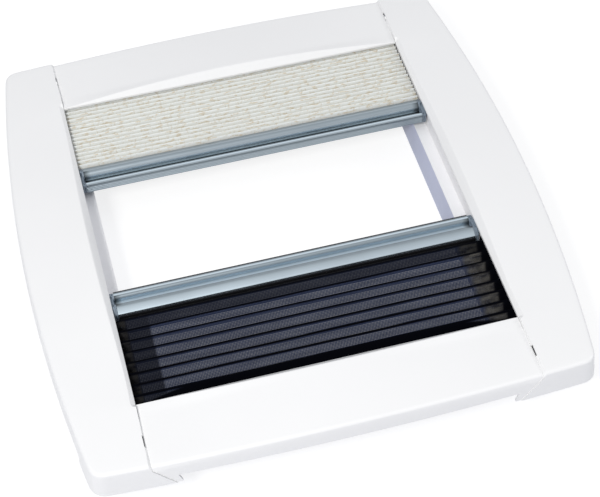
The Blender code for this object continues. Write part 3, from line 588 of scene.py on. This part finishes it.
def corner_ring(half_x, half_y, radius, z, steps=9):
    """Points of a rectangle with round corners, at one height."""
    points = []
    for quarter, (sx, sy) in enumerate(((1, 1), (-1, 1), (-1, -1), (1, -1))):
        for k in range(steps + 1):
            angle = math.pi / 2 * (quarter + k / steps)
            points.append(Vector((sx * (half_x - radius) + radius * math.cos(angle),
                                  sy * (half_y - radius) + radius * math.sin(angle), z)))
    return points


def base_frame():
    """Flange and collar with softened edges, and the screw holes of the frame."""
    well_x, well_y = HALF_X - LEDGE, HALF_Y - LEDGE
    flange_x, flange_y = OUTER_HALF_X - FLANGE_SIDE_INSET, OUTER_HALF_Y - FLANGE_END_INSET
    soft = 0.0006
    loops = []
    for out, z in ((soft, 0.0), (0.0, soft), (0.0, Z_LEDGE - soft)):
        loops.append(corner_ring(well_x + out, well_y + out, WELL_CORNER + out, z))
    for k in range(1, 5):
        angle = math.pi / 2 * k / 4
        out = soft * (1 - math.cos(angle))
        loops.append(corner_ring(well_x + out, well_y + out, WELL_CORNER + out,
                                 Z_LEDGE - soft * (1 - math.sin(angle))))
    loops += [corner_ring(flange_x - soft, flange_y - soft, FLANGE_CORNER - soft, Z_LEDGE),
              corner_ring(flange_x, flange_y, FLANGE_CORNER, Z_LEDGE - soft),
              corner_ring(flange_x, flange_y, FLANGE_CORNER, Z_FLANGE)]
    for out, z in ((COLLAR_WALL, Z_FLANGE), (COLLAR_WALL, soft), (COLLAR_WALL - soft, 0.0)):
        loops.append(corner_ring(well_x + out, well_y + out, WELL_CORNER + out, z))
    work = bmesh.new()
    rings(work, loops, closed=True)
    made = piece("base_frame_shell", work, FRAME, None, ["base_frame"])
    hole_x, reach = flange_x - CEILING_HOLE_INSET, flange_y - CEILING_HOLE_FROM_END
    spots = [(side * hole_x, reach * (2 * k / (CEILING_HOLES - 1) - 1), CEILING_HOLE_R)
             for side in (-1, 1) for k in range(CEILING_HOLES)]
    for name in nodes:
        if "screw" in name:
            low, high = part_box(name)
            spots.append(((low.x + high.x) / 2, (low.y + high.y) / 2, SCREW_HOLE_R))
    work = bmesh.new()
    for x, y, radius in spots:
        bmesh.ops.create_cone(work, cap_ends=True, segments=28, radius1=radius, radius2=radius,
                              depth=DRILL_LONG, matrix=Matrix.Translation((x, y, Z_LEDGE)))
    boolean(made, tool_object(work))
    smoothed(made, 35)
    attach(made, "frame")


base_frame()


# Pull bars and caps

def arc(x0, z0, x1, z1, steps):
    """Rolled shoulder that leaves (x0, z0) level and comes down steeply on (x1, z1)."""
    turns = [math.pi / 2 * k / steps for k in range(1, steps + 1)]
    return [Vector((x0 + (x1 - x0) * math.sin(a), z0 + (z1 - z0) * (1 - math.cos(a))))
            for a in turns]


def bar_skin(groove=True, fine=True):
    """Outer skin of the bar's section, from the front foot to the rear foot."""
    path = [(0, FOOT_Z)]
    if fine:
        for k in (1, 2, 3):
            z = FOOT_Z + LINE_PITCH * k
            path += [(0, z - LINE_DEPTH), (LINE_DEPTH, z), (0, z + LINE_DEPTH)]
    path += [(0, -0.0006), (0.0002, -0.0002), (0.0006, 0), (0.0014, 0), (0.0018, 0),
             (RIDGE_END, 0)]
    if groove:
        path += arc(RIDGE_END, 0, FRONT_WALL_FOOT, WALL_FOOT_Z, 12) + [(GROOVE_START, GROOVE_Z)]
        path += [(GROOVE_START + GROOVE_WIDE * k / 4, GROOVE_Z) for k in range(1, 5)]
        path += arc(RIM_AT, RIM_RISE, REAR_WALL_FOOT, WALL_FOOT_Z, 18)[::-1]
    else:
        path += [(0.0038, -0.0006), (0.0038, -0.0012), (0.0166, -0.0012), (0.0170, 0.0013)]
    path += [(RIM_AT, RIM_RISE), (SLOPE_AT, 0.0018)]
    path += [(SLOPE_AT + SLOPE_WIDE * k / 6, 0.0018 - SLOPE_DROP * k / 6) for k in range(1, 6)]
    path += [(0.0244, -0.0016), (0.0248, -0.0019), (BAR_WIDE, -0.0023), (BAR_WIDE, FOOT_Z)]
    return [Vector(point) for point in path]


def section_at(section, front, way, x):
    """A bar's section at one place along the bar."""
    return [Vector((x, front + way * p.x, RIDGE_Z + p.y)) for p in section]


def groove_painted_shading(kind, x, z):
    """Painted light and shade on the bar's skin, from the front over the groove to the rear
    slope.
    """
    blind = kind == "blind"
    if x < FRONT_UNTIL and z < -FRONT_UNTIL:
        return 0.42 if z > -0.0018 else 0.70
    if x < CHAMFER_UNTIL:
        return 0.75 if blind else 0.50
    # Painted highlight on the ridge
    if x < RIDGE_UNTIL:
        return 1.25
    if x < FRONT_WALL_UNTIL:
        return 0.55 + 0.50 * smoothstep((-z - 0.0010) / 0.0018)
    # Painted shade on the groove's floor, darkest by the front wall
    if z < GROOVE_Z + 0.0005:
        share = (x - GROOVE_START) / GROOVE_WIDE
        return 0.08 + 0.64 * smoothstep((share - 0.75) / 0.25) if blind else 0.90 + 0.45 * share
    if x < REAR_WALL_UNTIL:
        return 0.62 + (2.0 if blind else 1.4) * max(0.0, (RIM_RISE - z) / 0.0065 - 0.3)
    share = min(1.0, (x - RIM_AT) / 0.0068)
    return 0.86 - 0.36 * share if blind else 0.55 + 0.36 * min(1.0, 1.3 * share)


def pull_bar(kind):
    front, way = BAR_FRONT[kind]
    inner = [Vector(point) for point in (
        (BAR_WALL, FOOT_Z), (BAR_WALL, -BAR_WALL), (0.0036, -BAR_WALL),
        (0.0053, GROOVE_Z - BAR_WALL), (0.0136, GROOVE_Z - BAR_WALL), (0.0150, -0.0012),
        (0.0180, 0.0002), (BAR_WIDE - BAR_WALL, -0.0028), (BAR_WIDE - BAR_WALL, FOOT_Z))]
    ring = bar_skin() + inner[::-1]
    work = bmesh.new()
    inset = BAR_HALF - END_SHADE
    rings(work, [section_at(ring, front, way, x)
                 for x in (-BAR_HALF, -inset, inset, BAR_HALF)])
    made = piece(kind + "_bar_shell", work, BAR, kind + "_bar",
                 [kind + "_pull_bar"], 28)
    painted_shading_layer = made.data.attributes.new("painted_shading", "FLOAT_COLOR", "POINT")
    for vert, held in zip(made.data.vertices, painted_shading_layer.data):
        place_x, place_z = way * (vert.co.y - front), vert.co.z - RIDGE_Z
        painted_shading = groove_painted_shading(kind, place_x, place_z)
        # Painted shadow of the lips over the groove at the bar's ends
        if abs(vert.co.x) > inset + 0.001 and RIDGE_UNTIL < place_x < REAR_WALL_UNTIL:
            painted_shading *= 0.25
        held.color = (painted_shading, painted_shading, painted_shading, 1.0)


def block(work, low, high, soft=0.0002):
    """A box with softened edges, between two corners."""
    made = bmesh.ops.create_cube(work, size=1.0)["verts"]
    bmesh.ops.scale(work, vec=[b - a for a, b in zip(low, high)], verts=made)
    bmesh.ops.translate(work, vec=[(a + b) / 2 for a, b in zip(low, high)], verts=made)
    edges = list({edge for vert in made for edge in vert.link_edges})
    bmesh.ops.bevel(work, geom=edges, offset=soft, segments=2, affect="EDGES", profile=0.5)


def end_cap(kind, side, hand):
    """Notch plate, outer plate, spigot and glide of a bar's end cap."""
    front, way = BAR_FRONT[kind]
    notch = BAR_HALF + SEAT + CAP_NOTCH
    name = "%s_cap_%s" % (kind, hand)
    work = bmesh.new()
    for section, start, stop in ((bar_skin(True, False), BAR_HALF + SEAT, notch),
                                 (bar_skin(False, False), notch - JOIN, CAP_END)):
        soft = CAP_SOFT if stop == CAP_END else 0.0
        middle = sum(section, Vector((0, 0))) / len(section)
        small = [p + (middle - p).normalized() * soft for p in section]
        steps = [(section, start), (section, stop - soft), (small, stop)]
        rings(work, [section_at(s, front, way, side * x)
                     for s, x in steps if soft or s is section])
    ys = sorted((front + way * SPIGOT_INSET, front + way * (BAR_WIDE - SPIGOT_INSET)))
    xs = sorted((side * (BAR_HALF - SPIGOT_LONG), side * (BAR_HALF + SPIGOT_LAP)))
    block(work, (xs[0], ys[0], RIDGE_Z + SPIGOT_Z[0]), (xs[1], ys[1], RIDGE_Z + SPIGOT_Z[1]))
    mid = front + way * BAR_WIDE / 2
    xs = sorted((side * (CAP_END - JOIN), side * GLIDE_END))
    block(work, (xs[0], mid - GLIDE_HALF, GLIDE_Z[0]), (xs[1], mid + GLIDE_HALF, GLIDE_Z[1]),
          JOIN)
    piece(name + "_shell", work, CAP, kind + "_bar", [name], 30)


for kind in ("blind", "net"):
    pull_bar(kind)
    for side, hand in ((-1, "left"), (1, "right")):
        end_cap(kind, side, hand)


# Fabrics

def fold_rows(path, crease):
    """Points along a folded path with round creases, and the run up to each of them."""
    smooth = rounded(path, [crease] * (len(path) - 2), 3)
    rows = [smooth[0]]
    for here in smooth[1:]:
        first = rows[-1]
        parts = max(1, round((here - first).length / ROW_STEP))
        rows += [first.lerp(here, k / parts) for k in range(1, parts + 1)]
    runs = [0.0]
    for a, b in zip(rows, rows[1:]):
        runs.append(runs[-1] + (b - a).length)
    return rows, runs


def net_shades(x, y, from_tip, run, total, fold):
    """Painted shade, with the creases' own colour, and painted ledge light of the net at a
    point, each from 0 to 1.
    """
    # Dark fold lines: the creases' own colour and painted shade, thinner towards the bar
    width = CREASE_LINE - CREASE_THINS * run / total
    fold_line = 1 - smoothstep((from_tip - width) / 0.0008)
    # Both ends lie over the shadowed track: painted shade, darker on the right; the left strip
    # also takes painted ledge light
    left_edge_strip = smoothstep((-x - FABRIC_HALF + LEFT_EDGE_STRIP) / 0.0010)
    right_end_shade = smoothstep((x - FABRIC_HALF + RIGHT_END_SHADE) / 0.0015)
    # Painted shadow of the near lip on the net, reaching further in the middle
    lip_shade_reach = LIP_SHADE + LIP_SHADE_MORE * (1 - (x / FABRIC_HALF) ** 2)
    lip_shade = smoothstep((abs(y) - HALF_Y + lip_shade_reach) / 0.0015)
    # Painted shadow of the frame on the floor, seen through the net's left part
    left_shadow = smoothstep((LEFT_SHADOW_WIDE - FABRIC_HALF - x) / 0.0008)
    # Painted shade in the fold next to the bar
    bar_shade = smoothstep((run - total + 1.6 * fold) / 0.002)
    # Lighter patches near the right end: painted ledge light, where the lit ledge shows through
    ledge_light_patch = smoothstep((x - FABRIC_HALF + LEDGE_LIGHT_PATCH) / 0.0060)
    dark = max(fold_line, right_end_shade, LEFT_EDGE_SHADE_DARK * left_edge_strip, lip_shade, LEFT_SHADOW_DARK * left_shadow,
               BAR_SHADE_DARK * bar_shade)
    return dark, max(ledge_light_patch, left_edge_strip)


def pleated(name, start, end, folds, fold, thick, crease, sway, finish, stands,
            hemmed=False):
    """One folded sheet: straight faces, small round creases and a little sway.

    A hemmed one has its fold ends closed. Attributes tell the materials how deep in a fold
    a point lies, where the net gets painted shade, and where painted ledge light.
    """
    half = (end - start) / (2 * folds)
    height = math.sqrt(fold ** 2 - half ** 2)
    crest = FABRIC_TOP - thick / 2 * fold / abs(half) - 0.0001
    path = []
    for k in range(2 * folds + 1):
        z = HELD_Z if k in (0, 2 * folds) else (crest if k % 2 else crest - height)
        path.append(Vector((start + half * k, z)))
    flat = sum((b - a).length for a, b in zip(path, path[1:]))
    rows, runs = fold_rows(path, crease)
    total = runs[-1]
    work = bmesh.new()
    spot = work.verts.layers.float_vector.new("cloth")
    dark_of = work.verts.layers.float.new("dark")
    depth_of = work.verts.layers.float.new("depth")
    ledge_light_of = work.verts.layers.float.new("painted_ledge_light")
    places = [FABRIC_HALF * (2 * c / COLUMNS - 1) for c in range(COLUMNS + 1)]
    if hemmed:
        places = [-FABRIC_HALF - HEM_LAP, *places, FABRIC_HALF + HEM_LAP]
    grid = []
    for point, run in zip(rows, runs):
        row = []
        fade = min(1.0, run / fold, (total - run) / fold)
        tip = min(path[1::2], key=lambda peak: (point - peak).length)
        for x in places:
            shift = noise.noise(Vector((x * 14, run * 70, 3.7 + folds))) * sway * fade
            drop = abs(noise.noise(Vector((x * 11, run * 55, 9.1 + folds)))) * sway * fade
            drop += END_SAG * smoothstep((abs(point.x) - HALF_Y + 0.0003) / 0.002)
            slack = 0.0
            if not hemmed:
                slack = noise.noise(Vector((1.3, run * 90, 5.5))) * EDGE_SLIP * x / FABRIC_HALF
            z = point.y - drop if abs(x) <= FABRIC_HALF else crest - HEM_DROP
            vert = work.verts.new((x + slack, point.x + shift, z))
            vert[spot] = (x, run, 0)
            vert[depth_of] = min(1.0, max(0.0, (crest - point.y) / height))
            vert[dark_of], vert[ledge_light_of] = net_shades(
                x, point.x, (point - tip).length, run, total, fold)
            row.append(vert)
        grid.append(row)
    for here, there in zip(grid, grid[1:]):
        for j in range(len(here) - 1):
            work.faces.new((here[j], here[j + 1], there[j + 1], there[j]))
    bmesh.ops.recalc_face_normals(work, faces=work.faces)
    made = linked(name, work)
    made.data.materials.append(finish)
    made.data.shade_smooth()
    # The cloth gets its thickness, and the thinner net stays a single layer
    if thick > 0.0003:
        shell = made.modifiers.new("thickness", "SOLIDIFY")
        shell.thickness, shell.offset = thick, 0.0
        settled(made)
    made.data.set_sharp_from_angle(angle=math.radians(50))
    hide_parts(stands)
    return made, flat


gap = 0.0003
clamp = STRIP_FACE + gap
blind, blind_long = pleated(
    "blackout_sheet", RAIL_FACE_Y - gap, BAR_FRONT["blind"][0] + clamp, folds=25, fold=0.0100,
    thick=0.0005, crease=0.0007, sway=0.00022, finish=BLACKOUT,
    stands="blind_pleats")
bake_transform(blind)
net, net_long = pleated(
    "net_sheet", gap - RAIL_FACE_Y, BAR_FRONT["net"][0] - clamp, folds=13, fold=0.0150,
    thick=0.0002, crease=0.0006, sway=0.00045, finish=NET,
    stands="net_pleats", hemmed=True)
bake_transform(net)


# Floor, light and camera

def in_plain_view(tree):
    """1 for camera, glossy and transmission rays, 0 for the rays that light the part."""
    rays = add(tree, "ShaderNodeLightPath").outputs
    seen = math_of(tree, "MAXIMUM", rays["Is Camera Ray"], rays["Is Glossy Ray"])
    return math_of(tree, "MAXIMUM", seen, rays["Is Transmission Ray"])


def floor():
    """Pale floor: white to the camera and in reflections, with the shadow kept."""
    work = bmesh.new()
    bmesh.ops.create_grid(work, x_segments=2, y_segments=2, size=6.0)
    made = linked("floor", work)
    made.location = (0, 0, -0.0004)
    ground = bpy.data.materials.new("floor")
    ground.use_nodes = True
    tree = ground.node_tree
    tree.nodes.clear()
    seen = in_plain_view(tree)
    glow = add(tree, "ShaderNodeEmission", {"Color": (1, 1, 1, 1), "Strength": 0.80})
    dim = add(tree, "ShaderNodeBsdfDiffuse", {"Color": (0.30, 0.30, 0.30, 1)})
    both = add(tree, "ShaderNodeAddShader", {0: glow.outputs[0], 1: dim.outputs[0]})
    plain = add(tree, "ShaderNodeBsdfDiffuse", {"Color": (0.52, 0.53, 0.58, 1)})
    pick = add(tree, "ShaderNodeMixShader", {0: seen, 1: plain.outputs[0], 2: both.outputs[0]})
    end = add(tree, "ShaderNodeOutputMaterial")
    tree.links.new(pick.outputs[0], end.inputs["Surface"])
    made.data.materials.append(ground)


def surroundings():
    """White where it is seen or mirrored, a soft cool light elsewhere."""
    world = bpy.data.worlds.new("studio")
    scene.world = world
    world.use_nodes = True
    tree = world.node_tree
    tree.nodes.clear()
    seen = in_plain_view(tree)
    soft = add(tree, "ShaderNodeBackground", {"Color": (0.92, 0.94, 1.0, 1), "Strength": 0.56})
    white = add(tree, "ShaderNodeBackground", {"Color": (1, 1, 1, 1), "Strength": 1.0})
    pick = add(tree, "ShaderNodeMixShader", {0: seen, 1: soft.outputs[0], 2: white.outputs[0]})
    end = add(tree, "ShaderNodeOutputWorld")
    tree.links.new(pick.outputs[0], end.inputs["Surface"])


def lamp(name, way, distance, size, watts, color):
    """Disk lamp at a distance from the frame's middle, shining on it from one way."""
    made = bpy.data.objects.new(name, bpy.data.lights.new(name, "AREA"))
    made.data.shape, made.data.size, made.data.energy = "DISK", size, watts
    made.data.color = color
    way = Vector(way).normalized()
    made.location = Vector((0, 0, 0.05)) + way * distance
    made.rotation_euler = way.to_track_quat("Z", "Y").to_euler()
    scene.collection.objects.link(made)


def camera():
    """The photograph's camera, solved from the opening and the bars."""
    made = bpy.data.objects.new("camera", bpy.data.cameras.new("camera"))
    right = Vector((0.96638, -0.25577, -0.02626))
    up = Vector((0.21187, 0.73429, 0.64493))
    back = Vector((-0.14567, -0.62881, 0.76379))
    turn = Matrix((right, up, back)).transposed().to_4x4()
    made.matrix_world = Matrix.Translation((-0.21580, -1.01977, 1.23278)) @ turn
    made.data.sensor_width, made.data.lens = 36.0, 98.48
    scene.collection.objects.link(made)
    scene.camera = made


floor()
surroundings()
lamp("key", (-0.40, -0.56, 0.73), 2.5, 0.55, 34.0, (1.0, 0.99, 0.965))
lamp("fill", (0.82, -0.10, 0.54), 2.6, 1.2, 11.0, (1.0, 0.99, 0.97))
camera()
scene.view_settings.view_transform = "Standard"
